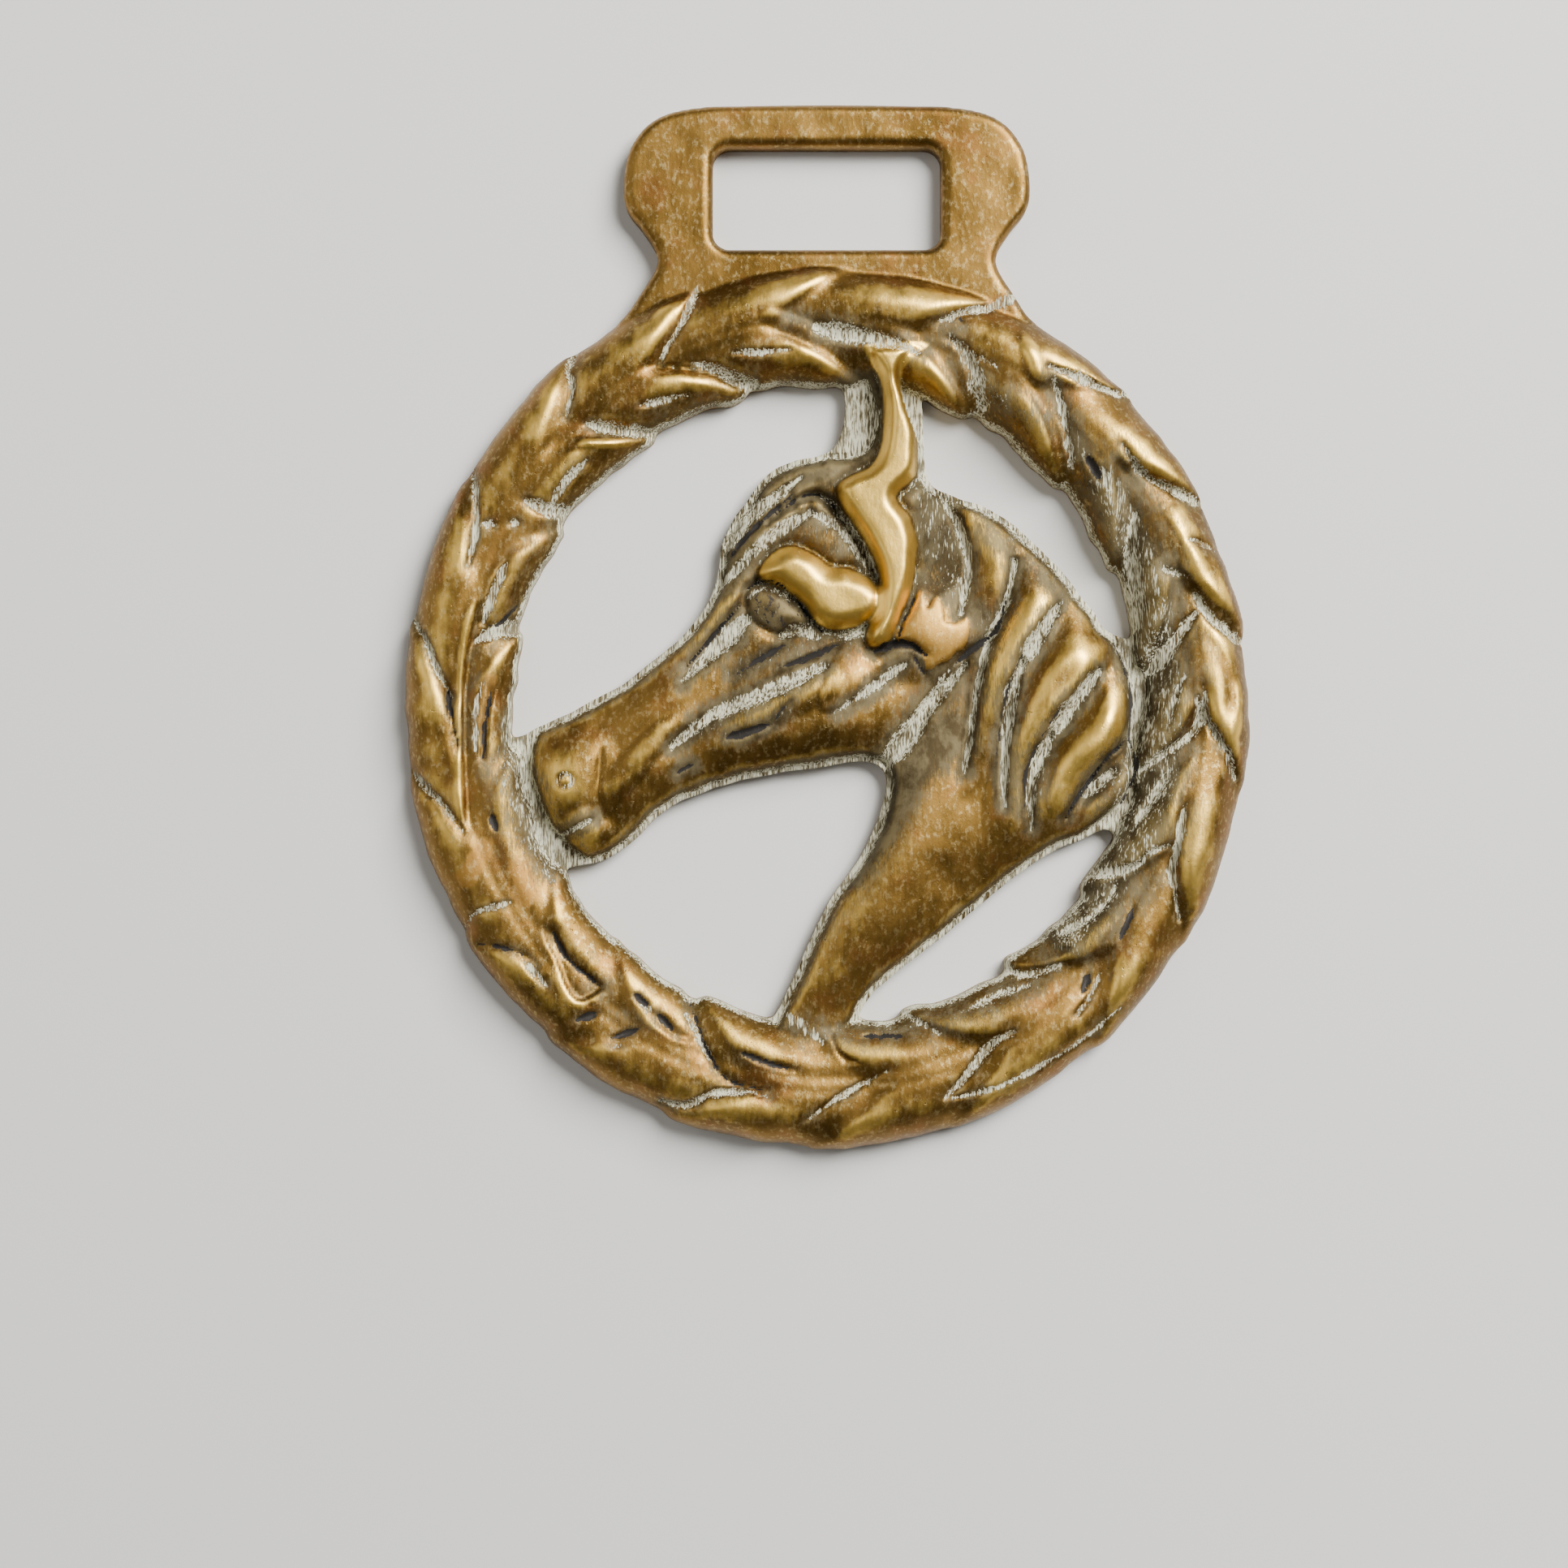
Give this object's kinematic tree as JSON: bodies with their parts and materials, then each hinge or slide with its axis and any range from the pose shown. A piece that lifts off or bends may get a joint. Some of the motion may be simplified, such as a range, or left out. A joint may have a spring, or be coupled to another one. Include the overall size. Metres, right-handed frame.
{
  "type": "horse brass",
  "caption": "Cast brass harness ornament: a horse's head in profile in an open laurel wreath, with a slotted hanger that a leather strap passes through.",
  "frame": {"origin": "on the flat back, at the middle of the wreath", "axes": "+Y towards the hanger, +Z out of the relief, the horse looking towards -X"},
  "size_m": [0.08, 0.0983, 0.0062],
  "materials": {
    "brass": "aged polished brass, with dull patina and pale dried polish in the hollows"
  },
  "bodies": {
    "root": {"horse_brass": "brass"}
  },
  "joints": []
}
